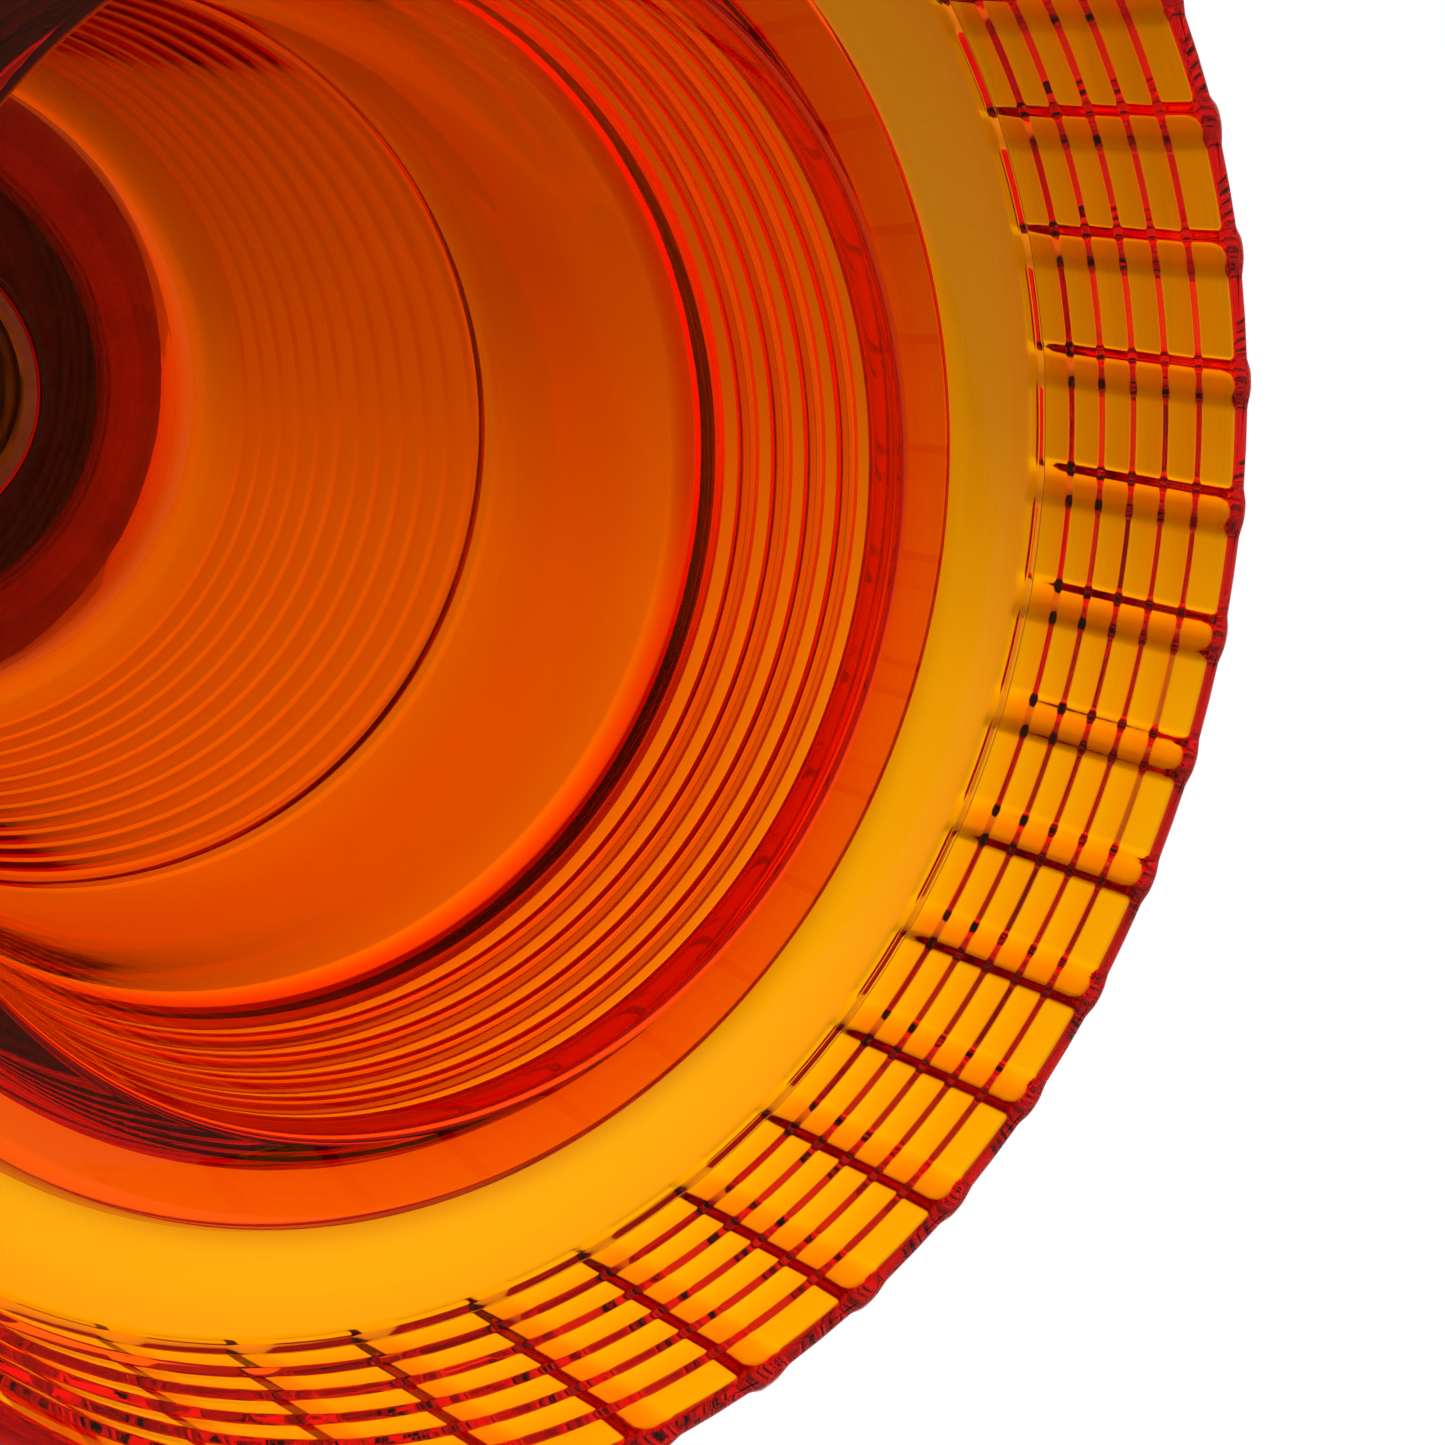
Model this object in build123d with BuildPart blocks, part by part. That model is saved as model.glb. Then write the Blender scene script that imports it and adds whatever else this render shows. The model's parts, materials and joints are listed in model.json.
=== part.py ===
from build123d import *
import math
import os

os.makedirs("parts", exist_ok=True)

# Clamp-top pin insulator with an amber glass bell, in millimetres.
# The bell stands on its open rim: z = 0 is the rim plane, +Z runs up the axis to the clamp,
# and the conductor lies along X.

# ---------------------------------------------------------------- glass bell, driving dimensions
rim_r = 65.0                # inside radius of the open rim
rim_wall = 2.25             # thickness of the skirt between two ribs
rim_round = 0.6             # rounding of the rim's edges
skirt_top = 21.7            # height of the straight skirt inside
rib_count = 35              # upright ribs round the skirt
rib_half = 2.55             # half the width of a rib
rib_stand = 1.1             # how far a rib stands off the skirt
rib_top = 22.5
step_count = 5              # ring prisms inside the skirt, each with a ledge that faces the rim
step_first = 3.4
step_depth = 0.66
step_rise = 0.38
shoulder_r = 55.6           # crease on the inside of the shoulder
shoulder_z = 26.3
collar_r = (57.4, 58.2)     # outside of the collar under the coarse rings, at its foot and top
collar_z = (28.6, 31.7)
waist_r = 48.4              # inside radius where the coarse rings start
belt_r = 47.5               # inside radius of the smooth belt
coarse_z = (27.6, 54.6)     # span of the coarse rings
coarse_count = 5
coarse_stand = 1.5
bead_stand = (1.6, 2.5)     # bead between the coarse rings and the belt, at its bottom and top
belt_top = 94.6
fine_r = (47.2, 45.6)       # inside radii of the fine rings, bottom and top
fine_z = (95.4, 157.0)
fine_count = 12
fine_stand = 0.35
crown_z = 166.0             # ceiling of the hollow
coarse_wall = 3.6           # glass behind the grooves between the coarse rings
fine_wall = 4.6
belt_wall = 4.7
head_r = 33.0               # glass head that carries the metal cap
head_top = 224.0
neck_z = 182.0
socket_r = 21.0             # blind socket for the thimble
socket_top = 212.0

# ---------------------------------------------------------------- pin thimble
pin_r = 17.46               # 1 3/8 inch insulator pin
thimble_r = 19.2
thimble_flange_r = 20.8
thimble_top = 210.5
thimble_hole_top = 208.0
thimble_flange = 2.0

# ---------------------------------------------------------------- cap and trunnion
cap_gap = 3.0               # cement between the head and the cap
cap_wall = 5.0
cap_bottom = 190.0
cap_inside_top = 226.0
cap_top = 234.0
pad_r = 28.0
trunnion_z = 252.0          # height of the clamp's pivot
trunnion_r = 7.95
lug_r = 14.0
lug_half = 8.0              # half the lug's thickness along Y
running_gap = 0.05
side_gap = 0.3
cheek_r = 15.0
cheek_thick = 6.0
pin_head_r = 12.0
pin_head = 5.0
pin_washer = 2.2
pin_end = 23.5
cotter_r = 1.6
cotter_y = -19.5

# ---------------------------------------------------------------- conductor clamp
conductor_r = 8.0
conductor_z = 288.0
liner = 1.5
parting = 1.5               # half the gap between saddle and keeper
saddle_bottom = 269.0
saddle_x, saddle_y = 50.0, 36.0     # half lengths
keeper_x = 44.0
keeper_flange = 9.0
keeper_hump_r = 14.5
liner_x = 35.0              # half length of the liners; the groove flares beyond them
mouth_slope = 0.3
bolt_x, bolt_y = 24.0, 22.5
bolt_r = 6.0
bolt_hole_r = 6.5
bolt_af = 19.0              # across the flats
bolt_head = 7.5
bolt_end = 262.0
washer_r = 11.4
washer = 2.0
lock_washer_r = 10.2
lock_washer = 2.8
nut_height = 11.0
nut_slack = 0.2
clip_z = 287.7
clip = 1.2
clip_r = 8.6
clip_groove_r = 5.2

cheek_in = lug_half + side_gap
cheek_out = cheek_in + cheek_thick
seat_r = conductor_r + liner
saddle_top = conductor_z - parting
keeper_bottom = conductor_z + parting
keeper_top = keeper_bottom + keeper_flange
lock_washer_z = keeper_top + washer
bolt_head_z = lock_washer_z + lock_washer
hex_r = bolt_af / 2 / math.cos(math.radians(30))
bolt_spots = [(bolt_x, bolt_y), (bolt_x, -bolt_y), (-bolt_x, -bolt_y), (-bolt_x, bolt_y)]


def save(piece, name):
    """Label a finished piece and write it under its node's name."""
    piece.part.label = name
    export_step(piece.part, f"parts/{name}.step")


def ring_stack(start, end, count, stand, tip_at):
    """Outline of count ring prisms between two points: each climbs to stand off the wall, then falls back."""
    (r0, z0), (r1, z1) = start, end
    points = [start]
    for i in range(count):
        peak, foot = (i + tip_at) / count, (i + 1) / count
        points.append((r0 + (r1 - r0) * peak + stand, z0 + (z1 - z0) * peak))
        points.append((r0 + (r1 - r0) * foot, z0 + (z1 - z0) * foot))
    return points


def ridge_stack(start, end, count, stand):
    """Outline of count broad ridges between two points, from the lowest up: crest, steep top, groove, underside."""
    (r0, z0), (r1, z1) = start, end
    points = []
    for i in range(count):
        for share, off in ((0.0, stand), (0.3, stand), (0.34, 0.0), (0.97, 0.0)):
            t = (i + share) / count
            t *= 0.88 + 0.12 * t
            points.append((r0 + (r1 - r0) * t + off, z0 + (z1 - z0) * t))
    return points + [end]


def flare_mouths(half_length):
    """Open both ends of the conductor groove outwards, from the liner's end to the casting's end."""
    mouth = half_length - liner_x
    for side in (-1, 1):
        with Locations((side * (liner_x + mouth / 2), 0, conductor_z)):
            Cone(seat_r, seat_r + mouth_slope * mouth, mouth, rotation=(0, side * 90, 0), mode=Mode.SUBTRACT)


# ---------------------------------------------------------------- glass bell
outer_r = rim_r + rim_wall
rib_r = (rib_half**2 + rib_stand**2) / (2 * rib_stand)
with BuildPart() as glass_shell:
    with BuildSketch(Plane.XZ):
        with BuildLine():
            # inside, from the rim up to the socket
            inner_edge = RadiusArc((rim_r + rim_round, 0), (rim_r, rim_round), rim_round)
            Line(inner_edge @ 1, (rim_r, step_first))
            step_share = step_rise * step_count / (skirt_top - step_first)
            Polyline(*ring_stack((rim_r, step_first), (rim_r, skirt_top), step_count, -step_depth, step_share))
            Line((rim_r, skirt_top), (rim_r - step_depth, skirt_top + step_rise))
            ThreePointArc(
                (rim_r - step_depth, skirt_top + step_rise),
                (rim_r - 1.5, skirt_top + 2.2),
                (rim_r - 3.6, skirt_top + 3.0),
            )
            Polyline((rim_r - 3.6, skirt_top + 3.0), (shoulder_r, shoulder_z), (waist_r + 2.0, coarse_z[0] - 2.0))
            RadiusArc((waist_r + 2.0, coarse_z[0] - 2.0), (waist_r, coarse_z[0]), 2.2)
            Polyline((waist_r, coarse_z[0]), (belt_r, coarse_z[1]), (belt_r, belt_top))
            Line((belt_r, belt_top), (fine_r[0], fine_z[0]))
            Line((fine_r[0], fine_z[0]), (fine_r[1], fine_z[1]))
            crown_edge = RadiusArc((fine_r[1], fine_z[1]), (fine_r[1] - 9.0, crown_z), -9.0)
            Polyline(crown_edge @ 1, (socket_r, crown_z), (socket_r, socket_top), (0, socket_top), (0, head_top))
            # outside, from the head down to the rim
            Line((0, head_top), (head_r - 4.0, head_top))
            RadiusArc((head_r - 4.0, head_top), (head_r, head_top - 4.0), 4.0)
            Line((head_r, head_top - 4.0), (head_r, neck_z))
            neck = RadiusArc((head_r, neck_z), (head_r + 6.0, neck_z - 6.5), -7.0)
            fine_out = fine_r[1] + fine_wall, fine_z[1]
            RadiusArc(neck @ 1, fine_out, 20.0)
            fine_foot = fine_r[0] + fine_wall, fine_z[0]
            Polyline(*ring_stack(fine_out, fine_foot, fine_count, fine_stand, 0.2))
            belt_out = belt_r + belt_wall
            Line(fine_foot, (belt_out, belt_top))
            ThreePointArc((belt_out, belt_top), (belt_out + 0.7, 77.0), (belt_out, coarse_z[1] + 6.2))
            Polyline(
                (belt_out, coarse_z[1] + 6.2),
                (belt_out + bead_stand[1], coarse_z[1] + 4.4),
                (belt_out + bead_stand[0], coarse_z[1] + 0.1),
                (belt_out, coarse_z[1]),
            )
            coarse_foot = waist_r + coarse_wall, coarse_z[0] + 3.0
            ridges = ridge_stack(coarse_foot, (belt_out, coarse_z[1]), coarse_count, coarse_stand)[1:]
            collar = (collar_r[1], collar_z[1]), (collar_r[0], collar_z[0])
            Polyline((outer_r - 4.5, skirt_top + 5.0), *reversed(collar), *ridges)
            ThreePointArc(
                (outer_r - 4.5, skirt_top + 5.0), (outer_r - 1.3, skirt_top + 3.3), (outer_r, skirt_top + 0.4)
            )
            Line((outer_r, skirt_top + 0.4), (outer_r, rim_round))
            RadiusArc((outer_r, rim_round), (outer_r - rim_round, 0), rim_round)
            Line((outer_r - rim_round, 0), (rim_r + rim_round, 0))
        make_face()
    revolve(axis=Axis.Z)
    with BuildSketch(Plane.XY):
        with PolarLocations(outer_r + rib_stand - rib_r, rib_count):
            Circle(rib_r)
        Circle(outer_r - 1.0, mode=Mode.SUBTRACT)
    extrude(amount=rib_top)
save(glass_shell, "glass_shell")

# ---------------------------------------------------------------- pin thimble and its bedding
with BuildPart() as pin_thimble:
    with BuildSketch(Plane.XZ):
        with BuildLine():
            Polyline(
                (pin_r, crown_z),
                (thimble_flange_r, crown_z),
                (thimble_flange_r, crown_z + thimble_flange),
                (thimble_r, crown_z + thimble_flange),
                (thimble_r, thimble_top),
                (0, thimble_top),
                (0, thimble_hole_top),
                (pin_r, thimble_hole_top),
                close=True,
            )
        make_face()
    revolve(axis=Axis.Z)
save(pin_thimble, "pin_thimble")

with BuildPart() as thimble_cement:
    with BuildSketch(Plane.XY.offset(crown_z + thimble_flange)):
        Circle(socket_r)
        Circle(thimble_r, mode=Mode.SUBTRACT)
    extrude(amount=socket_top - crown_z - thimble_flange)
save(thimble_cement, "thimble_cement")

with BuildPart() as thimble_pad:
    with BuildSketch(Plane.XY.offset(thimble_top)):
        Circle(thimble_r)
    extrude(amount=socket_top - thimble_top)
save(thimble_pad, "thimble_pad")

# ---------------------------------------------------------------- cap, its cement and its cork pad
cap_in = head_r + cap_gap
with BuildPart() as head_cement:
    with BuildSketch(Plane.XZ):
        with BuildLine():
            Polyline(
                (head_r, head_top - 4.0),
                (head_r, cap_bottom + 1.0),
                (cap_in, cap_bottom + 1.0),
                (cap_in, cap_inside_top),
                (pad_r, cap_inside_top),
                (pad_r, head_top),
                (head_r - 4.0, head_top),
            )
            RadiusArc((head_r - 4.0, head_top), (head_r, head_top - 4.0), 4.0)
        make_face()
    revolve(axis=Axis.Z)
save(head_cement, "head_cement")

with BuildPart() as cap_pad:
    with BuildSketch(Plane.XY.offset(head_top)):
        Circle(pad_r)
    extrude(amount=cap_inside_top - head_top)
save(cap_pad, "cap_pad")

cap_out = cap_in + cap_wall
with BuildPart() as metal_cap:
    with BuildSketch(Plane.XZ):
        with BuildLine():
            Polyline(
                (0, cap_inside_top),
                (cap_in, cap_inside_top),
                (cap_in, cap_bottom),
                (cap_out + 2.0, cap_bottom),
                (cap_out + 2.0, cap_bottom + 5.0),
                (cap_out, cap_bottom + 8.0),
                (cap_out, cap_top - 8.0),
            )
            RadiusArc((cap_out, cap_top - 8.0), (cap_out - 8.0, cap_top), -8.0)
            Polyline((cap_out - 8.0, cap_top), (0, cap_top), (0, cap_inside_top))
        make_face()
    revolve(axis=Axis.Z)
    # lug between the clamp's cheeks
    with BuildSketch(Plane.XZ.offset(-lug_half)):
        with Locations((0, trunnion_z)):
            Circle(lug_r)
        with BuildLine():
            Polyline(
                (-lug_r, trunnion_z),
                (lug_r, trunnion_z),
                (lug_r + 6.0, cap_top - 1.0),
                (-lug_r - 6.0, cap_top - 1.0),
                close=True,
            )
        make_face()
    extrude(amount=2 * lug_half)
    with BuildSketch(Plane.XZ.offset(-lug_half)):
        with Locations((0, trunnion_z)):
            Circle(trunnion_r)
    extrude(amount=2 * lug_half, mode=Mode.SUBTRACT)
save(metal_cap, "metal_cap")

# ---------------------------------------------------------------- trunnion pin, washer and cotter
with BuildPart() as trunnion_pin:
    with BuildSketch(Plane.XZ.offset(-cheek_out - side_gap)):
        with Locations((0, trunnion_z)):
            Circle(trunnion_r)
    extrude(amount=cheek_out + side_gap + pin_end)
    chamfer(trunnion_pin.edges().group_by(Axis.Y)[0], 1.2)
    with BuildSketch(Plane.XZ.offset(-cheek_out - side_gap)):
        with Locations((0, trunnion_z)):
            Circle(pin_head_r)
    extrude(amount=-pin_head)
    chamfer(trunnion_pin.edges().group_by(Axis.Y)[-1], 1.0)
    with Locations((0, cotter_y, trunnion_z)):
        Cylinder(cotter_r + 0.1, 4 * trunnion_r, mode=Mode.SUBTRACT)
save(trunnion_pin, "trunnion_pin")

with BuildPart() as pin_washer_ring:
    with BuildSketch(Plane.XZ.offset(cheek_out + side_gap)):
        with Locations((0, trunnion_z)):
            Circle(pin_head_r + 0.5)
            Circle(trunnion_r + 0.3, mode=Mode.SUBTRACT)
    extrude(amount=pin_washer)
save(pin_washer_ring, "pin_washer")

with BuildPart() as cotter_pin:
    with Locations((0, cotter_y, trunnion_z - 1.5)):
        Cylinder(cotter_r, 2 * trunnion_r + 7.0)
    with Locations((0, cotter_y, trunnion_z + trunnion_r + 3.4)):
        Torus(2.4, cotter_r - 0.4, rotation=(90, 0, 90))
save(cotter_pin, "cotter_pin")

# ---------------------------------------------------------------- saddle
with BuildPart() as saddle:
    with BuildSketch(Plane.XY.offset(saddle_bottom)):
        RectangleRounded(2 * saddle_x, 2 * saddle_y, 10.0)
    extrude(amount=saddle_top - saddle_bottom)
    fillet(saddle.faces().sort_by(Axis.Z)[0].edges(), 4.0)
    for side in (-1, 1):
        with BuildSketch(Plane.XZ.offset(side * (cheek_in + cheek_thick / 2))):
            with Locations((0, trunnion_z)):
                Circle(cheek_r)
            with BuildLine():
                Polyline(
                    (-cheek_r, trunnion_z),
                    (cheek_r, trunnion_z),
                    (cheek_r + 5.0, saddle_bottom + 1.0),
                    (-cheek_r - 5.0, saddle_bottom + 1.0),
                    close=True,
                )
            make_face()
        extrude(amount=cheek_thick / 2, both=True)
    with Locations((0, 0, trunnion_z)):
        Cylinder(trunnion_r + running_gap, 4 * saddle_y, rotation=(90, 0, 0), mode=Mode.SUBTRACT)
    with Locations((0, 0, conductor_z)):
        Cylinder(seat_r, 4 * saddle_x, rotation=(0, 90, 0), mode=Mode.SUBTRACT)
    flare_mouths(saddle_x)
    with Locations(*[(x, y, saddle_top) for x, y in bolt_spots]):
        Hole(bolt_hole_r)
    with BuildSketch(Plane.XY.offset(saddle_bottom)):
        with Locations(*bolt_spots):
            RegularPolygon(hex_r + nut_slack, 6)
    extrude(amount=nut_height, mode=Mode.SUBTRACT)
save(saddle, "saddle")

with BuildPart() as saddle_liner:
    with BuildSketch(Plane.YZ.offset(-liner_x)):
        with Locations((0, conductor_z)):
            Circle(seat_r)
            Circle(conductor_r, mode=Mode.SUBTRACT)
        with Locations((0, conductor_z - parting)):
            Rectangle(3 * seat_r, 2 * seat_r, align=(Align.CENTER, Align.MIN), mode=Mode.SUBTRACT)
    extrude(amount=2 * liner_x)
save(saddle_liner, "saddle_liner")

with BuildPart() as clamp_nuts:
    with BuildSketch(Plane.XY.offset(saddle_bottom)):
        with Locations(*bolt_spots):
            RegularPolygon(hex_r, 6)
            Circle(bolt_r + running_gap, mode=Mode.SUBTRACT)
    extrude(amount=nut_height)
save(clamp_nuts, "clamp_nuts")

# ---------------------------------------------------------------- keeper
with BuildPart() as keeper:
    with BuildSketch(Plane.XY.offset(keeper_bottom)):
        RectangleRounded(2 * keeper_x, 2 * saddle_y, 10.0)
    extrude(amount=keeper_flange)
    fillet(keeper.faces().sort_by(Axis.Z)[-1].edges(), 2.5)
    with BuildSketch(Plane.YZ.offset(-keeper_x)):
        with Locations((0, conductor_z)):
            Circle(keeper_hump_r)
        with Locations((0, keeper_bottom)):
            Rectangle(3 * keeper_hump_r, 3 * keeper_hump_r, align=(Align.CENTER, Align.MAX), mode=Mode.SUBTRACT)
    extrude(amount=2 * keeper_x)
    with Locations((0, 0, conductor_z)):
        Cylinder(seat_r, 4 * keeper_x, rotation=(0, 90, 0), mode=Mode.SUBTRACT)
    flare_mouths(keeper_x)
    with Locations(*[(x, y, keeper_top) for x, y in bolt_spots]):
        Hole(bolt_hole_r)
save(keeper, "keeper")

with BuildPart() as keeper_liner:
    with BuildSketch(Plane.YZ.offset(-liner_x)):
        with Locations((0, conductor_z)):
            Circle(seat_r)
            Circle(conductor_r, mode=Mode.SUBTRACT)
        with Locations((0, keeper_bottom)):
            Rectangle(3 * seat_r, 2 * seat_r, align=(Align.CENTER, Align.MAX), mode=Mode.SUBTRACT)
    extrude(amount=2 * liner_x)
save(keeper_liner, "keeper_liner")

with BuildPart() as flat_washers:
    with BuildSketch(Plane.XY.offset(keeper_top)):
        with Locations(*bolt_spots):
            Circle(washer_r)
            Circle(bolt_hole_r, mode=Mode.SUBTRACT)
    extrude(amount=washer)
save(flat_washers, "flat_washers")

with BuildPart() as lock_washers:
    with BuildSketch(Plane.XY.offset(lock_washer_z)):
        with Locations(*bolt_spots):
            Circle(lock_washer_r)
            Circle(bolt_r + 0.3, mode=Mode.SUBTRACT)
            with Locations((0, lock_washer_r)):
                Rectangle(1.6, 2 * (lock_washer_r - bolt_r), rotation=15, mode=Mode.SUBTRACT)
    extrude(amount=lock_washer)
save(lock_washers, "lock_washers")

# ---------------------------------------------------------------- clamp bolts and their retaining clips
for number, (x, y) in enumerate(bolt_spots, start=1):
    with BuildPart() as clamp_bolt:
        with BuildSketch(Plane.XY.offset(bolt_end)):
            with Locations((x, y)):
                Circle(bolt_r)
        extrude(amount=bolt_head_z - bolt_end)
        chamfer(clamp_bolt.edges().group_by(Axis.Z)[0], 1.0)
        with BuildSketch(Plane.XY.offset(bolt_head_z)):
            with Locations((x, y)):
                RegularPolygon(hex_r, 6)
        extrude(amount=bolt_head)
        chamfer(clamp_bolt.edges().group_by(Axis.Z)[-1], 0.8)
        with BuildSketch(Plane.XY.offset(clip_z)):
            with Locations((x, y)):
                Circle(bolt_r + 1.0)
                Circle(clip_groove_r, mode=Mode.SUBTRACT)
        extrude(amount=clip, mode=Mode.SUBTRACT)
    save(clamp_bolt, f"clamp_bolt_{number}")

    with BuildPart() as retaining_clip:
        with BuildSketch(Plane.XY.offset(clip_z)):
            with Locations((x, y)):
                Circle(clip_r)
                Circle(clip_groove_r, mode=Mode.SUBTRACT)
            with Locations((x + math.copysign(clip_r, x), y)):
                Rectangle(2 * (clip_r - clip_groove_r) + 2.0, 5.0, mode=Mode.SUBTRACT)
        extrude(amount=clip)
    save(retaining_clip, f"retaining_clip_{number}")
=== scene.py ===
import json
import math

import bmesh
import bpy
from mathutils import Matrix, Vector

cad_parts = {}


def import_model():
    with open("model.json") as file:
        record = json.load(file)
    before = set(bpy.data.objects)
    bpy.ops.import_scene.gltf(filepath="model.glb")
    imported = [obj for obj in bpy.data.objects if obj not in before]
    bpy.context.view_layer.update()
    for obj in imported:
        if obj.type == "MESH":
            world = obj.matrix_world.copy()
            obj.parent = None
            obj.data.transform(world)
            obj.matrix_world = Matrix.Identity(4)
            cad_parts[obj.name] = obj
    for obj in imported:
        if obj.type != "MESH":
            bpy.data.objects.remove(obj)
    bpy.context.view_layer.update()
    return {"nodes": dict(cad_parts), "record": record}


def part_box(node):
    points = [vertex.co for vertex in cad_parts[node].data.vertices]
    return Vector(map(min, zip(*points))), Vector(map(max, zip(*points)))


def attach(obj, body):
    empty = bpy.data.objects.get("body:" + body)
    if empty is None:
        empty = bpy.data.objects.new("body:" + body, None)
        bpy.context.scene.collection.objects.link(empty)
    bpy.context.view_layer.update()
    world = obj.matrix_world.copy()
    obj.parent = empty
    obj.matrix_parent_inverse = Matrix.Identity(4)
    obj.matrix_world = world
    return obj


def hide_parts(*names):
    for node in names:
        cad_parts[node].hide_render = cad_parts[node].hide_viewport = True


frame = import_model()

MM = 0.001
SMOOTH_STEP = math.radians(12)      # turn from one point of a rounded corner to the next
SMALL_ROUNDING = 0.25               # in mm; corners rounded less than this take twice that turn
EDGE_SHARE = 0.48                   # the most of an outline's edge that one corner's arc takes
SHARP = math.radians(38)            # edges of turned pieces that turn more than this stay sharp
SKY = 1.32                          # brightness of the studio round the object

# ---------------------------------------- sizes of the glass bell, in mm
rim_r, rim_wall, rim_round = 65.0, 2.25, 0.6
outer_r = rim_r + rim_wall
skirt_top = 21.7
rib_count, rib_half, rib_top = 35, 2.55, 22.5
rib_flank = 1.3, 2.1                # a rib's steep flank, as distances from its middle
rib_slope = 0.76                    # slope of that flank
rib_crown_power = 2.8               # how square a rib's crown is
rib_fade = 6.0                      # height over which a rib sinks into the shoulder
edge_z, edge_depth = 23.4, 0.8      # the skirt's outside steps in here, at the ribs' upper ends
skirt_spacing = 2.4                 # the most between rows of points up the skirt's outside
# the ring lines inside the skirt: their number, lowest foot, depth and the height of each ledge
step_count, step_first, step_depth, step_rise = 5, 3.4, 0.66, 0.38
shoulder_r, shoulder_z = 55.6, 26.3
collar_foot_r, collar_foot, collar_r, collar_top = 57.4, 28.6, 58.2, 31.7
waist_r, belt_r, belt_wall, coarse_wall = 48.4, 47.5, 4.5, 3.6
coarse_bottom, coarse_top, coarse_rings = 27.6, 54.6, 5
coarse_lift = 3.0                   # the outer rings start this far above the inner wall's foot
coarse_crowding = 0.12              # how much closer the lowest coarse rings stand than evenly
# one coarse ring's corners as (share of its height, stand): the crest, then the groove above it
ridge_profile = (0.0, 1.5), (0.3, 1.5), (0.34, 0.0), (0.97, 0.0)
# the bead over the coarse rings, as (stand, height, rounding)
bead_profile = (1.6, 0.1, 0.2), (2.9, 5.4, 1.0), (0.0, 7.0, 1.0)
belt_swell, belt_swell_z = 0.5, (70.0, 84.0)
belt_top = 94.6
fine_r0, fine_r1, fine_z0, fine_z1 = 47.05, 45.6, 95.8, 157.0
fine_count, fine_wall, fine_stand = 12, 4.6, 0.3
crown_z, socket_r, socket_top = 166.0, 21.0, 212.0
head_r, head_top, neck_z = 33.0, 224.0, 182.0
film = 0.03                         # the glass stops this far short of its cement


# ---------------------------------------- outlines and turned meshes
def rounded(corners):
    """Points of an outline through corners (r, z, rounding), each an arc of about that radius."""
    points = [Vector(corners[0][:2])]
    for before, corner, after in zip(corners, corners[1:], corners[2:]):
        here = Vector(corner[:2])
        back, on = Vector(before[:2]) - here, Vector(after[:2]) - here
        turn = math.pi - back.angle(on)
        longest = EDGE_SHARE * min(back.length, on.length)
        reach = min(corner[2] * math.tan(turn / 2), longest)
        step = SMOOTH_STEP if corner[2] >= SMALL_ROUNDING else 2 * SMOOTH_STEP
        steps = math.ceil(turn / step)
        if reach < 1e-4 or steps < 2:
            points.append(here)
            continue
        start, end = here + back.normalized() * reach, here + on.normalized() * reach
        for i in range(steps + 1):
            t = i / steps
            points.append((1 - t) ** 2 * start + 2 * t * (1 - t) * here + t ** 2 * end)
    points.append(Vector(corners[-1][:2]))
    return points


def bumps(start, end, count, stand, tip_at, tip_round, foot_round):
    """Corners of count ring prisms between two (r, z) points, each with its tip at stand."""
    (r0, z0), (r1, z1) = start, end
    corners = [(r0, z0, foot_round)]
    for i in range(count):
        peak, foot = (i + tip_at) / count, (i + 1) / count
        corners.append((r0 + (r1 - r0) * peak + stand, z0 + (z1 - z0) * peak, tip_round))
        corners.append((r0 + (r1 - r0) * foot, z0 + (z1 - z0) * foot, foot_round))
    return corners


def coarse_prisms(start, end):
    """Corners of the coarse rings from the lowest up, which stand wider apart higher up."""
    (r0, z0), (r1, z1) = start, end
    corners = []
    for i in range(coarse_rings):
        for share, stand in ridge_profile:
            t = (i + share) / coarse_rings
            t *= 1 - coarse_crowding + coarse_crowding * t
            corners.append((r0 + (r1 - r0) * t + stand, z0 + (z1 - z0) * t, 0.15))
    return corners + [(r1, z1, 0.3)]


def finish_mesh(name, mesh):
    """Link a finished mesh as a smooth-shaded object."""
    mesh.normal_update()
    data = bpy.data.meshes.new(name)
    mesh.to_mesh(data)
    mesh.free()
    data.shade_smooth()
    piece = bpy.data.objects.new(name, data)
    bpy.context.scene.collection.objects.link(piece)
    return piece


# ---------------------------------------- amber glass bell
def inner_outline():
    """The bell's inside, from the socket's ceiling down to the rim."""
    corners = [(0, socket_top + film, 0), (socket_r + film, socket_top + film, 0.6)]
    corners += [(socket_r + film, crown_z, 1.0), (fine_r1, crown_z, 9.0)]
    corners += [(fine_r1, fine_z1, 2.0), (fine_r0, fine_z0, 1.2), (belt_r, belt_top, 1.2)]
    corners += [(belt_r, coarse_top, 3.0), (waist_r, coarse_bottom, 0.5)]
    corners += [(waist_r, coarse_bottom - 2.0, 2.0), (shoulder_r, shoulder_z, 1.2)]
    corners += [(rim_r - 3.6, skirt_top + 3.0, 3.0), (rim_r - step_depth, skirt_top + 1.5, 1.0)]
    corners += [(rim_r - step_depth, skirt_top + step_rise, 0.2)]
    lean = 1 - step_rise * step_count / (skirt_top - step_first)
    top_line, low_line = (rim_r, skirt_top), (rim_r, step_first)
    corners += bumps(top_line, low_line, step_count, -step_depth, lean, 0.2, 0.2)
    corners += [(rim_r, 0, rim_round), (rim_r + 0.45 * rim_wall, 0, 0)]
    return rounded(corners)


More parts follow.
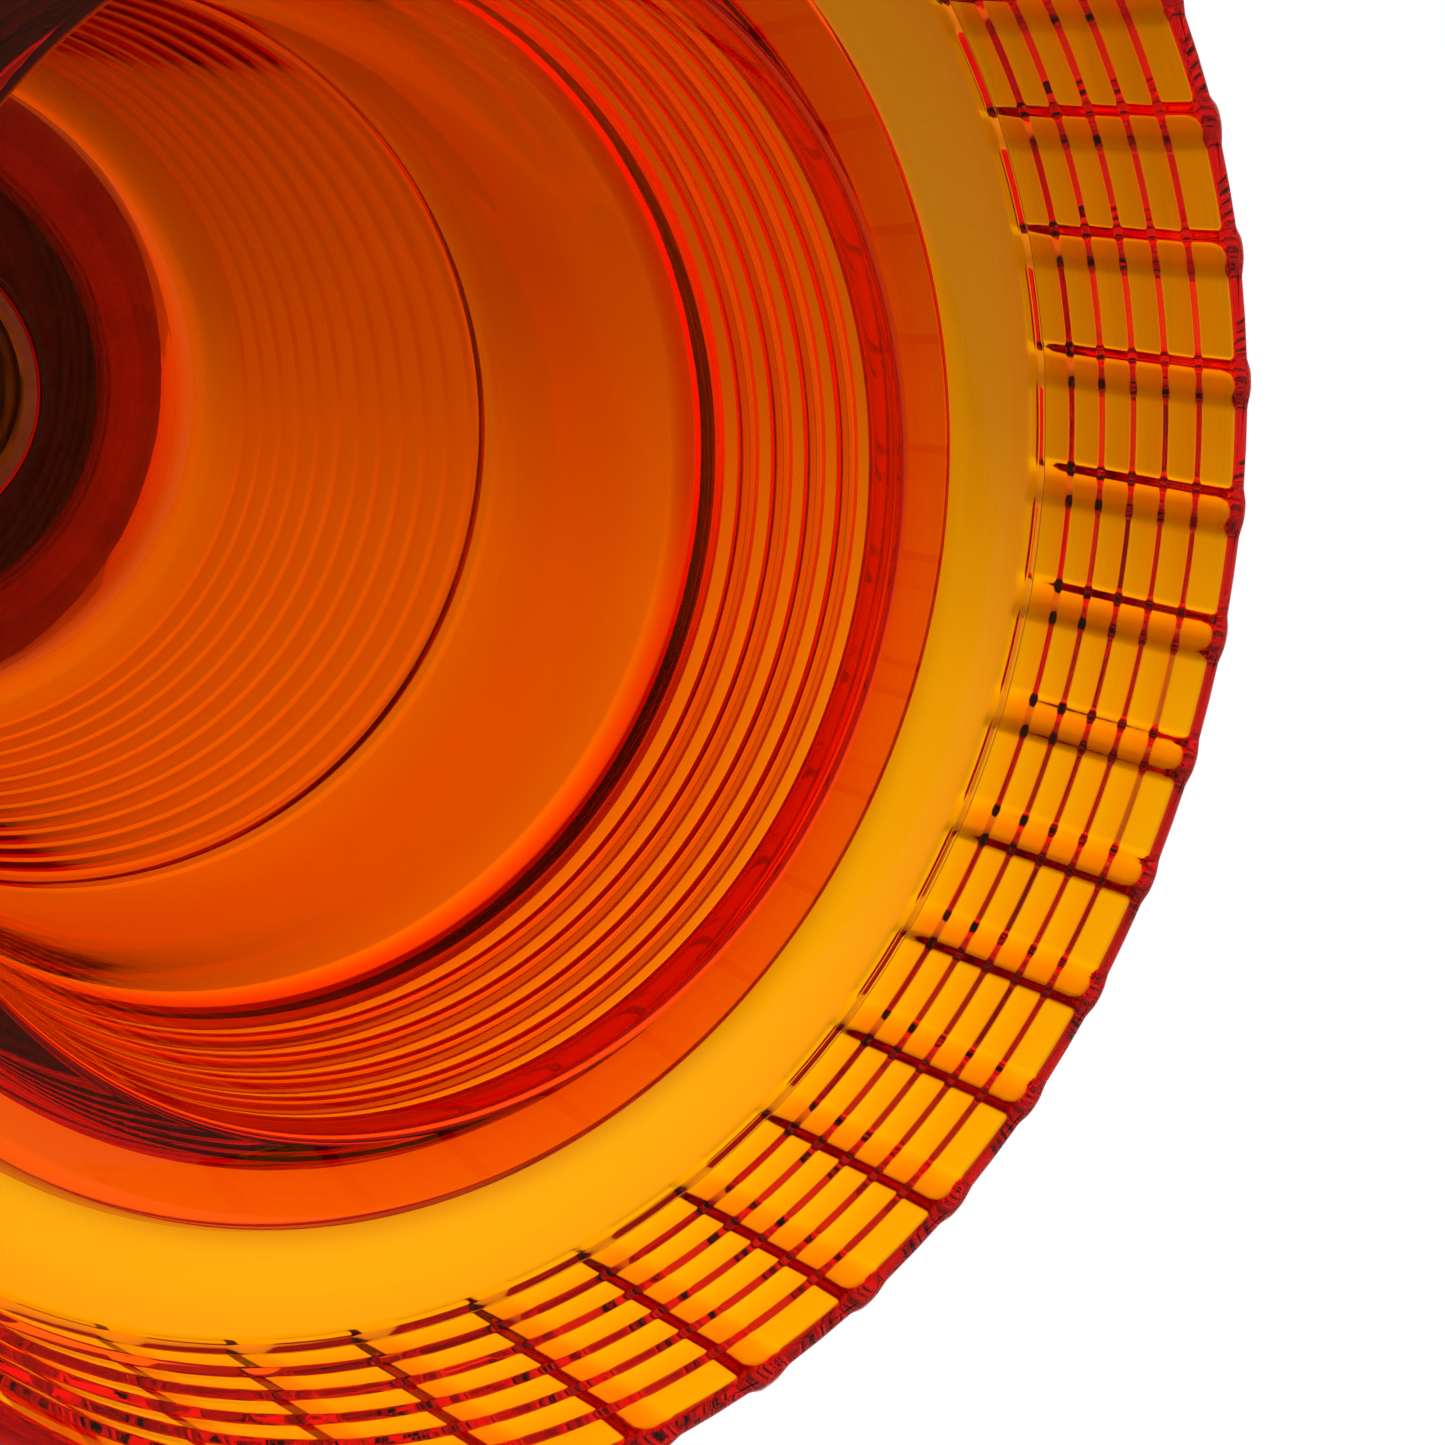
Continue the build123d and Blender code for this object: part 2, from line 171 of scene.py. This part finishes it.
def skirt_outline():
    """The ribbed outside of the skirt, from the middle of the rim's face up to the shoulder."""
    edge_r = outer_r - edge_depth
    corners = [(rim_r + 0.55 * rim_wall, 0, 0), (outer_r, 0, rim_round), (outer_r, edge_z, 0.1)]
    corners += [(edge_r, edge_z + 0.05, 0.1), (edge_r, skirt_top + 3.6, 3.0)]
    corners += [(outer_r - 4.5, skirt_top + 5.0, 1.0), (outer_r - 7.5, skirt_top + 5.8, 0)]
    points = rounded(corners)
    rows = []
    for a, b in zip(points, points[1:]):
        steps = max(1, math.ceil((b - a).length / skirt_spacing))
        rows += [a.lerp(b, i / steps) for i in range(steps)]
    return rows + [points[-1]]


def upper_outline():
    """The outside from the shoulder up to the top of the head."""
    corners = [(outer_r - 8.5, skirt_top + 6.05, 0)]
    corners += [(collar_foot_r, collar_foot, 0.2), (collar_r, collar_top, 0.3)]
    coarse_foot = waist_r + coarse_wall, coarse_bottom + coarse_lift
    belt_out = belt_r + belt_wall
    corners += coarse_prisms(coarse_foot, (belt_out, coarse_top))[1:]
    for stand, height, rounding in bead_profile:
        corners.append((belt_out + stand, coarse_top + height, rounding))
    corners += [(belt_out + belt_swell, z, 60.0) for z in belt_swell_z]
    corners += [(belt_out, belt_top, 0.6)]
    fine_foot, fine_out = (fine_r0 + fine_wall, fine_z0), (fine_r1 + fine_wall, fine_z1)
    corners += bumps(fine_foot, fine_out, fine_count, fine_stand, 0.8, 1.0, 1.0)
    corners += [(fine_r1 + fine_wall - 0.6, 168.0, 9.0), (head_r + 6.0, neck_z - 5.5, 6.0)]
    corners += [(head_r - film, neck_z - 4.0, 6.0), (head_r - film, head_top - film, 4.0)]
    corners += [(0, head_top - film, 0)]
    return rounded(corners)


def rib_angles():
    """Angles round the skirt, close together across each rib and wide apart between ribs."""
    pitch = 2 * math.pi / rib_count
    foot = rib_half / outer_r
    side = [0.55, 1.0, rib_flank[0], 0.5 * sum(rib_flank), rib_flank[1], 2.32, rib_half]
    across = [-x / outer_r for x in reversed(side)] + [0.0] + [x / outer_r for x in side]
    between = [foot + 0.3 / outer_r, pitch / 2, pitch - foot - 0.3 / outer_r]
    return [(k * pitch + a, a) for k in range(rib_count) for a in across + between]


def rib_lift(angle_off, z):
    """How far a rib stands off the skirt, at an angle from its middle and a height."""
    across = abs(angle_off) * outer_r
    if across >= rib_half:
        return 0.0
    crown, foot = rib_flank
    lift = rib_slope * (rib_half - max(across, foot)) ** 2 / (2 * (rib_half - foot))
    if across < foot:
        lift += rib_slope * (foot - max(across, crown))
    if across < crown:
        lift += rib_slope * crown * (1 - (across / crown) ** rib_crown_power) / rib_crown_power
    fade = 1 - max(0.0, min(1.0, (z - rib_top + rib_fade / 2) / rib_fade)) ** 2
    return lift * fade * (0.4 + 0.6 * min(1.0, z / rim_round))


def glass_bell():
    """The whole bell as one closed mesh, with more points round the ribbed skirt than elsewhere."""
    mesh = bmesh.new()
    angles = rib_angles()
    coarse_step = 3
    coarse_count = len(angles) // coarse_step
    turn = 2 * math.pi / coarse_count
    coarse_angles = [(angles[0][0] + turn * i, 0.0) for i in range(coarse_count)]

    def ring(radius, z, spots, ribbed=False):
        row = []
        for angle, off in spots:
            r = radius + (rib_lift(off, z) if ribbed else 0.0)
            spot = r * MM * math.cos(angle), r * MM * math.sin(angle), z * MM
            row.append(mesh.verts.new(spot))
        return row

    def band(low, high):
        for i in range(len(low)):
            j = (i + 1) % len(low)
            mesh.faces.new((low[i], low[j], high[j], high[i]))

    def gather(fine, coarse, inward):
        """Joins a ring of fine points to one with a third as many."""
        for i in range(len(coarse)):
            j = (i + 1) % len(coarse)
            arc = [fine[(i * coarse_step + k) % len(fine)] for k in range(coarse_step + 1)]
            face = arc + [coarse[j], coarse[i]]
            mesh.faces.new(face if inward else face[::-1])

    def cap(row, centre, up):
        middle = mesh.verts.new(centre)
        for i in range(len(row)):
            j = (i + 1) % len(row)
            mesh.faces.new((row[i], row[j], middle) if up else (row[j], row[i], middle))

    inside = inner_outline()
    rows = [ring(p.x, p.y, coarse_angles) for p in inside[1:]]
    cap(rows[0], (0, 0, inside[0].y * MM), False)
    for a, b in zip(rows, rows[1:]):
        band(a, b)
    skirt = [ring(p.x, p.y, angles, ribbed=True) for p in skirt_outline()]
    gather(skirt[0], rows[-1], False)
    for a, b in zip(skirt, skirt[1:]):
        band(a, b)
    above = upper_outline()
    rows = [ring(p.x, p.y, coarse_angles) for p in above[:-1]]
    gather(skirt[-1], rows[0], True)
    for a, b in zip(rows, rows[1:]):
        band(a, b)
    cap(rows[-1], (0, 0, above[-1].y * MM), True)
    bmesh.ops.recalc_face_normals(mesh, faces=mesh.faces)
    return finish_mesh("amber_bell", mesh)


# ---------------------------------------- materials
def material(name):
    """A node material with its Principled shader and a short way to add nodes."""
    made = bpy.data.materials.new(name)
    made.use_nodes = True
    tree = made.node_tree
    shader = tree.nodes["Principled BSDF"]

    def add(kind, **values):
        node = tree.nodes.new("ShaderNode" + kind)
        for key, value in values.items():
            if key in node.inputs:
                node.inputs[key].default_value = value
            else:
                setattr(node, key, value)
        return node

    return made, tree, shader, add


def amber_glass():
    """Clear amber glass with the faint circular streaks of a turned mould."""
    streaks_per_m, streak_depth, drift = 1400.0, 0.01 * MM, 6.0 * MM
    made, tree, shader, add = material("amber_glass")
    place, split, join = add("TexCoord"), add("SeparateXYZ"), add("CombineXYZ")
    flat, reach = add("VectorMath", operation="MULTIPLY"), add("VectorMath", operation="LENGTH")
    unit, shrink = add("VectorMath", operation="NORMALIZE"), add("VectorMath", operation="SCALE")
    spot, streaks = add("VectorMath", operation="ADD"), add("TexNoise", Scale=streaks_per_m)
    relief = add("Bump", Strength=0.35, Distance=streak_depth)
    streaks.inputs["Detail"].default_value = 3.0
    flat.inputs[1].default_value = (1, 1, 0)
    shrink.inputs["Scale"].default_value = drift
    links = tree.links
    links.new(place.outputs["Object"], flat.inputs[0])
    links.new(place.outputs["Object"], split.inputs[0])
    links.new(flat.outputs[0], reach.inputs[0])
    links.new(flat.outputs[0], unit.inputs[0])
    links.new(unit.outputs[0], shrink.inputs[0])
    links.new(reach.outputs["Value"], join.inputs[0])
    links.new(split.outputs["Z"], join.inputs[2])
    links.new(join.outputs[0], spot.inputs[0])
    links.new(shrink.outputs[0], spot.inputs[1])
    links.new(spot.outputs[0], streaks.inputs["Vector"])
    links.new(streaks.outputs["Fac"], relief.inputs["Height"])
    links.new(relief.outputs[0], shader.inputs["Normal"])
    shader.inputs["Base Color"].default_value = (1, 1, 1, 1)
    shader.inputs["Transmission Weight"].default_value = 1.0
    shader.inputs["Roughness"].default_value = 0.0
    shader.inputs["IOR"].default_value = 1.52
    absorb = add("VolumeAbsorption", Color=(0.996, 0.87, 0.0, 1), Density=2960.0)
    links.new(absorb.outputs[0], tree.nodes["Material Output"].inputs["Volume"])
    return made


bell = glass_bell()
bell.data.materials.append(amber_glass())
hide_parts("glass_shell")
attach(bell, "insulator")


# ---------------------------------------- metal, cement and cork
def blotches(tree, add, spot, scale, low, high):
    """A cloudy grey value between low and high at the coordinates spot, and the noise behind it."""
    noise = add("TexNoise", Scale=scale, Detail=6.0, Roughness=0.6)
    span = add("MapRange")
    span.inputs["From Min"].default_value = 0.3
    span.inputs["From Max"].default_value = 0.7
    span.inputs["To Min"].default_value = low
    span.inputs["To Max"].default_value = high
    tree.links.new(spot, noise.inputs["Vector"])
    tree.links.new(noise.outputs["Fac"], span.inputs["Value"])
    return span.outputs[0], noise.outputs["Fac"]


def blend_colours(tree, add, amount, first, second):
    """Mixes two colours, or a colour and a socket, by an amount that may be a socket."""
    mix = add("Mix", data_type="RGBA")
    for index, value in ((0, amount), (6, first), (7, second)):
        socket = mix.inputs[index]
        if isinstance(value, bpy.types.NodeSocket):
            tree.links.new(value, socket)
        else:
            socket.default_value = value
    return mix.outputs[2]


def aged_with_painted_shade(name, dark, light, grain, rough, bump_mm, spangle=0.0, stretch=(1, 1, 1)):
    """A metal's finish: cloudy colour and gloss, fine relief, and painted shade in the corners.

    grain is in cells per metre, rough is the least and most roughness, spangle is the size in mm of
    zinc crystals, or 0 for none, and stretch draws the grain out.
    """
    made, tree, shader, add = material(name)
    place, drawn_out = add("TexCoord"), add("Mapping")
    drawn_out.inputs["Scale"].default_value = stretch
    tree.links.new(place.outputs["Object"], drawn_out.inputs["Vector"])
    spot = drawn_out.outputs[0]
    shade, _ = blotches(tree, add, spot, grain * 0.12, 0.0, 1.0)
    colour = blend_colours(tree, add, shade, (*dark, 1), (*light, 1))
    gloss, fine = blotches(tree, add, spot, grain, rough[0], rough[1])
    if spangle:
        crystals = add("TexVoronoi", Scale=1000 / spangle)
        grey, fade = add("RGBToBW"), add("Math", operation="MULTIPLY_ADD")
        fade.inputs[1].default_value = 0.22
        fade.inputs[2].default_value = -0.08
        tree.links.new(place.outputs["Object"], crystals.inputs["Vector"])
        tree.links.new(crystals.outputs["Color"], grey.inputs[0])
        tree.links.new(grey.outputs[0], fade.inputs[0])
        colour = blend_colours(tree, add, fade.outputs[0], colour, (0.93, 0.95, 0.97, 1))
        sheen = add("Math", operation="MULTIPLY_ADD")
        sheen.inputs[1].default_value = 0.16
        tree.links.new(grey.outputs[0], sheen.inputs[0])
        tree.links.new(gloss, sheen.inputs[2])
        gloss = sheen.outputs[0]
    # painted shade: ambient occlusion darkens the colour to dark brown in corners and recesses
    corner = add("AmbientOcclusion", samples=8)
    corner.inputs["Distance"].default_value = 0.004
    painted_corner_shade = add("MapRange")
    painted_corner_shade.inputs["From Min"].default_value = 0.35
    painted_corner_shade.inputs["From Max"].default_value = 0.95
    painted_corner_shade.inputs["To Min"].default_value = 0.55
    painted_corner_shade.inputs["To Max"].default_value = 0.0
    tree.links.new(corner.outputs["AO"], painted_corner_shade.inputs["Value"])
    # painted shade: the occluded corners are mixed towards dark brown in the base colour
    colour = blend_colours(tree, add, painted_corner_shade.outputs[0], colour, (0.16, 0.13, 0.10, 1))
    relief = add("Bump", Strength=0.6, Distance=bump_mm * MM)
    tree.links.new(fine, relief.inputs["Height"])
    tree.links.new(colour, shader.inputs["Base Color"])
    tree.links.new(gloss, shader.inputs["Roughness"])
    tree.links.new(relief.outputs[0], shader.inputs["Normal"])
    shader.inputs["Metallic"].default_value = 1.0
    return made


def speckled(name, tones, cell_mm, bump_mm, rough):
    """A matt mass of grains, such as cement or cork: each cell takes its own tone."""
    made, tree, shader, add = material(name)
    place, cells, ramp = add("TexCoord"), add("TexVoronoi", Scale=1000 / cell_mm), add("ValToRGB")
    grey, relief = add("RGBToBW"), add("Bump", Strength=0.8, Distance=bump_mm * MM)
    steps = ramp.color_ramp.elements
    steps[0].color, steps[1].color = (*tones[0], 1), (*tones[-1], 1)
    for i, tone in enumerate(tones[1:-1], start=1):
        steps.new(i / (len(tones) - 1)).color = (*tone, 1)
    tree.links.new(place.outputs["Object"], cells.inputs["Vector"])
    tree.links.new(cells.outputs["Color"], grey.inputs[0])
    tree.links.new(grey.outputs[0], ramp.inputs[0])
    shade, _ = blotches(tree, add, place.outputs["Object"], 300 / cell_mm, 0.0, 0.35)
    colour = blend_colours(tree, add, shade, ramp.outputs[0], (*tones[0], 1))
    tree.links.new(colour, shader.inputs["Base Color"])
    tree.links.new(cells.outputs["Distance"], relief.inputs["Height"])
    tree.links.new(relief.outputs[0], shader.inputs["Normal"])
    shader.inputs["Roughness"].default_value = rough
    return made


finishes = {
    "zinc": aged_with_painted_shade("zinc", (0.26, 0.27, 0.29), (0.36, 0.37, 0.39), 900, (0.38, 0.60), 0.05),
    "cement": speckled(
        "cement", ((0.30, 0.28, 0.25), (0.44, 0.42, 0.38), (0.56, 0.54, 0.50)), 0.9, 0.15, 0.92),
    "cork": speckled(
        "cork", ((0.12, 0.06, 0.025), (0.33, 0.19, 0.09), (0.45, 0.29, 0.15)), 1.8, 0.2, 0.88),
    "galvanised_iron": aged_with_painted_shade(
        "galvanised_iron", (0.31, 0.33, 0.35), (0.40, 0.42, 0.44), 1300, (0.24, 0.38), 0.12,
        spangle=7.0),
    "galvanised_steel": aged_with_painted_shade(
        "galvanised_steel", (0.38, 0.40, 0.42), (0.48, 0.50, 0.52), 2200, (0.22, 0.38), 0.02,
        spangle=2.6),
    "stainless": aged_with_painted_shade(
        "stainless", (0.44, 0.43, 0.41), (0.54, 0.53, 0.50), 1600, (0.16, 0.30), 0.01,
        stretch=(6, 6, 0.6)),
    "cast_aluminium": aged_with_painted_shade(
        "cast_aluminium", (0.46, 0.47, 0.48), (0.56, 0.57, 0.58), 1700, (0.30, 0.44), 0.10),
    "soft_aluminium": aged_with_painted_shade(
        "soft_aluminium", (0.66, 0.67, 0.68), (0.76, 0.77, 0.78), 1100, (0.20, 0.36), 0.015,
        stretch=(0.15, 6, 6)),
}


# ---------------------------------------- hardware that stands in for CAD nodes
def lofted(name, rows, count, x=0.0, y=0.0):
    """A closed mesh about an upright axis at (x, y); each row gives (radius, z) at an angle."""
    mesh = bmesh.new()
    loops = []
    for row in rows:
        loop = []
        for i in range(count):
            angle = 2 * math.pi * i / count
            r, z = row(angle)
            spot = (x + r * math.cos(angle)) * MM, (y + r * math.sin(angle)) * MM, z * MM
            loop.append(mesh.verts.new(spot))
            if r == 0:
                break
        loops.append(loop)
    for low, high in zip(loops, loops[1:]):
        for i in range(count):
            j = (i + 1) % count
            if len(low) == 1:
                mesh.faces.new((low[0], high[j], high[i]))
            elif len(high) == 1:
                mesh.faces.new((low[i], low[j], high[0]))
            else:
                mesh.faces.new((low[i], low[j], high[j], high[i]))
    bmesh.ops.recalc_face_normals(mesh, faces=mesh.faces)
    piece = finish_mesh(name, mesh)
    piece.data.set_sharp_from_angle(angle=SHARP)
    return piece


def circle(r, z):
    """A row of one radius all round."""
    return lambda angle: (r, z)


def groove(crest, depth, pitch, z):
    """A row of a thread's surface: depth is negative for a thread cut outwards from crest."""
    def at(angle):
        phase = (z / pitch - angle / (2 * math.pi)) % 1.0
        return crest - depth * min(1.0, max(0.0, 1.35 - abs(phase - 0.5) * 3.4)), z
    return at


def hexagon(across_flats, z, cut=None):
    """A row of a bolt head; cut is the radius at which its top starts to slope down."""
    def at(angle):
        r = across_flats / 2 / math.cos(angle % (math.pi / 3) - math.pi / 6)
        return (r, z) if cut is None else (r, z - (r - cut) * 0.55)
    return at


def dress(piece, body, slot, *nodes):
    """Gives a detailed piece its finish, its body and the CAD nodes that it stands for."""
    piece.data.materials.append(finishes[slot])
    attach(piece, body)
    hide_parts(*nodes)


def clamp_bolt(number):
    """A hexagon bolt with its thread, the groove for its retaining clip and a washer face."""
    shank, clip_groove, flats, pitch, head, washer_face = 5.98, 5.2, 19.0, 1.75, 7.5, 9.0
    node = f"clamp_bolt_{number}"
    low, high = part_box(node)
    x, y = (low.x + high.x) / 2 / MM, (low.y + high.y) / 2 / MM
    end, top = low.z / MM, high.z / MM
    clip_low, clip_high = (corner.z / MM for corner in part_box(f"retaining_clip_{number}"))
    seat = top - head
    thread_top = clip_low - 3.0
    step = 0.25
    rows = [circle(0, end), circle(4.6, end), circle(5.0, end + 0.3)]
    for i in range(int((thread_top - end - 1.2) / step)):
        z = end + 0.6 + step * i
        crest = min(shank, 5.15 + 1.1 * (z - end - 0.5))
        rows.append(groove(crest, min(0.95, crest - 4.9), pitch, z))
    rows += [circle(shank, thread_top), circle(shank, clip_low), circle(clip_groove, clip_low)]
    rows += [circle(clip_groove, clip_high), circle(shank, clip_high), circle(shank, seat - 0.4)]
    rows += [circle(6.3, seat), circle(washer_face, seat), circle(washer_face + 0.1, seat + 0.5)]
    rows += [hexagon(flats, seat + 0.5), hexagon(flats, top, washer_face)]
    rows += [circle(8.9, top), circle(8.2, top - 0.15), circle(0, top - 0.15)]
    bolt = lofted(f"threaded_bolt_{number}", rows, 48, x, y)
    dress(bolt, f"bolt_{number}", "galvanised_steel", node)


def pin_thimble():
    """The pin's socket, with a rounded thread of four turns to the inch."""
    low, high = (corner.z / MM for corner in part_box("pin_thimble"))
    bore, body, flange, pitch, thread_depth, step = 17.46, 19.2, 20.8, 6.35, 1.05, 0.5
    rows = [circle(0, high), circle(body - 0.8, high), circle(body, high - 0.8)]
    rows += [circle(body, low + 2.0), circle(flange, low + 2.0), circle(flange, low + 0.4)]
    rows += [circle(flange - 0.4, low), circle(bore + 1.3, low), circle(bore + 0.9, low + 0.5)]
    for i in range(int((high - low - 5.5) / step)):
        rows.append(groove(bore, -thread_depth, pitch, low + 1.0 + step * i))
    rows += [circle(bore, high - 4.0), circle(bore - 1.0, high - 2.5), circle(0, high - 2.5)]
    dress(lofted("threaded_thimble", rows, 96), "insulator", "zinc", "pin_thimble")


def cotter():
    """A split pin of half-round wire: an eye on top, and two legs bent apart below."""
    low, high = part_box("cotter_pin")
    x, y = (low.x + high.x) / 2 / MM, (low.y + high.y) / 2 / MM
    wire, bottom, top = 0.72, low.z / MM, high.z / MM
    path = [(4.2, bottom + 1.9), (2.6, bottom + 1.3), (0.95, bottom + 3.2), (0.8, bottom + 6.0)]
    path += [(0.8, top - 7.5), (1.4, top - 5.6), (3.3, top - 4.4), (3.6, top - 2.4)]
    path += [(2.0, top - wire - 0.1)]
    both = path + [(-a, z) for a, z in reversed(path)]
    curve = bpy.data.curves.new("split_cotter", "CURVE")
    curve.dimensions = "3D"
    spline = curve.splines.new("NURBS")
    spline.points.add(len(both) - 1)
    for point, (a, z) in zip(spline.points, both):
        point.co = ((x + a) * MM, y * MM, z * MM, 1)
    spline.order_u = 3
    spline.use_endpoint_u = True
    spline.resolution_u = 8
    curve.bevel_depth = wire * MM
    curve.bevel_resolution = 4
    curve.use_fill_caps = True
    piece = bpy.data.objects.new("split_cotter", curve)
    bpy.context.scene.collection.objects.link(piece)
    dress(piece, "insulator", "stainless", "cotter_pin")


for number in range(1, 5):
    clamp_bolt(number)
pin_thimble()
cotter()

# CAD nodes that stay keep their shape and get a finish
for part in frame["record"]["subparts"]:
    node = frame["nodes"][part["node"]]
    if part["material_slot"] in finishes:
        node.data.materials.clear()
        node.data.materials.append(finishes[part["material_slot"]])


# ---------------------------------------- floor, light and camera
def floor():
    """A wide pale floor at the rim's plane, seen from above only."""
    bpy.ops.mesh.primitive_plane_add(size=6.0, location=(0, 0, -0.0002))
    plane = bpy.context.object
    plane.name = "floor"
    made, tree, shader, add = material("floor")
    shader.inputs["Base Color"].default_value = (0.8, 0.8, 0.8, 1)
    shader.inputs["Roughness"].default_value = 0.9
    shader.inputs["Emission Color"].default_value = (1, 1, 1, 1)
    shader.inputs["Emission Strength"].default_value = 0.1
    mix, clear, side = add("MixShader"), add("BsdfTransparent"), add("NewGeometry")
    tree.links.new(side.outputs["Backfacing"], mix.inputs[0])
    tree.links.new(shader.outputs[0], mix.inputs[1])
    tree.links.new(clear.outputs[0], mix.inputs[2])
    tree.links.new(mix.outputs[0], tree.nodes["Material Output"].inputs["Surface"])
    plane.data.materials.append(made)


def world():
    """White to the camera; for everything else a soft studio, dimmer towards -Y and overhead."""
    sky = bpy.data.worlds.new("sky")
    bpy.context.scene.world = sky
    sky.use_nodes = True
    nodes, links = sky.node_tree.nodes, sky.node_tree.links
    place, split = nodes.new("ShaderNodeTexCoord"), nodes.new("ShaderNodeSeparateXYZ")
    links.new(place.outputs["Generated"], split.inputs[0])

    def fade(axis, low, high, tones):
        """A colour that changes along one axis of the direction; tones are (share, colour)."""
        span, ramp = nodes.new("ShaderNodeMapRange"), nodes.new("ShaderNodeValToRGB")
        span.inputs["From Min"].default_value = low
        span.inputs["From Max"].default_value = high
        steps = ramp.color_ramp.elements
        steps[0].color, steps[1].color = (*tones[0][1], 1), (*tones[-1][1], 1)
        for share, tone in tones[1:-1]:
            steps.new(share).color = (*tone, 1)
        links.new(split.outputs[axis], span.inputs["Value"])
        links.new(span.outputs[0], ramp.inputs[0])
        return ramp.outputs[0]

    white = 1, 1, 1
    across = [(0, (0.29, 0.23, 0.19)), (0.44, (0.44, 0.38, 0.33)), (0.6, (0.71, 0.70, 0.68))]
    across += [(1, white)]
    upward = [(0, white), (1, (0.82, 0.80, 0.78))]
    tint, choose = nodes.new("ShaderNodeMix"), nodes.new("ShaderNodeMix")
    tint.data_type = choose.data_type = "RGBA"
    tint.blend_type = "MULTIPLY"
    tint.inputs[0].default_value = 1.0
    links.new(fade("Y", -0.6, 0.4, across), tint.inputs[6])
    links.new(fade("Z", 0.55, 0.85, upward), tint.inputs[7])
    path = nodes.new("ShaderNodeLightPath")
    links.new(path.outputs["Is Camera Ray"], choose.inputs[0])
    links.new(tint.outputs[2], choose.inputs[6])
    choose.inputs[7].default_value = (1 / SKY, 1 / SKY, 1 / SKY, 1)
    links.new(choose.outputs[2], nodes["Background"].inputs[0])
    nodes["Background"].inputs["Strength"].default_value = SKY


def camera():
    """Below the rim's plane and off to -X, looking up into the open bell, rolled on its side."""
    azimuth, rise, roll = math.radians(4.03), math.radians(45.5), math.radians(-71.14)
    ahead, aside = math.cos(azimuth) * math.cos(rise), math.sin(azimuth) * math.cos(rise)
    look = Vector((ahead, aside, math.sin(rise)))
    level = look.cross(Vector((0, 0, 1))).normalized()
    right = level * math.cos(roll) + level.cross(look) * math.sin(roll)
    data = bpy.data.cameras.new("camera")
    data.sensor_width = 36.0
    data.lens = 46.0
    data.clip_start = 0.001
    eye = bpy.data.objects.new("camera", data)
    turn = Matrix((right, right.cross(look), -look)).transposed().to_4x4()
    spot = Vector((-1.348, 0, -1.458)) * rim_r * MM
    eye.matrix_world = Matrix.Translation(spot) @ turn
    bpy.context.scene.collection.objects.link(eye)
    bpy.context.scene.camera = eye


def lamp(name, spot, watts, size):
    """A soft square lamp that faces the clamp."""
    light = bpy.data.lights.new(name, "AREA")
    light.energy = watts
    light.size = size
    holder = bpy.data.objects.new(name, light)
    holder.location = spot
    holder.visible_transmission = False
    clamp_middle = Vector((0, 0, 0.25))
    aim = clamp_middle - Vector(spot)
    holder.rotation_euler = aim.to_track_quat("-Z", "Y").to_euler()
    bpy.context.scene.collection.objects.link(holder)


floor()
world()
camera()
lamp("key", (-0.7, -0.9, 1.1), 9.0, 0.7)
lamp("fill", (-0.9, 0.9, 0.7), 4.0, 0.9)
scene = bpy.context.scene
scene.view_settings.view_transform = "Standard"
scene.cycles.max_bounces = 24
scene.cycles.transmission_bounces = 24
scene.cycles.glossy_bounces = 12
scene.cycles.transparent_max_bounces = 16
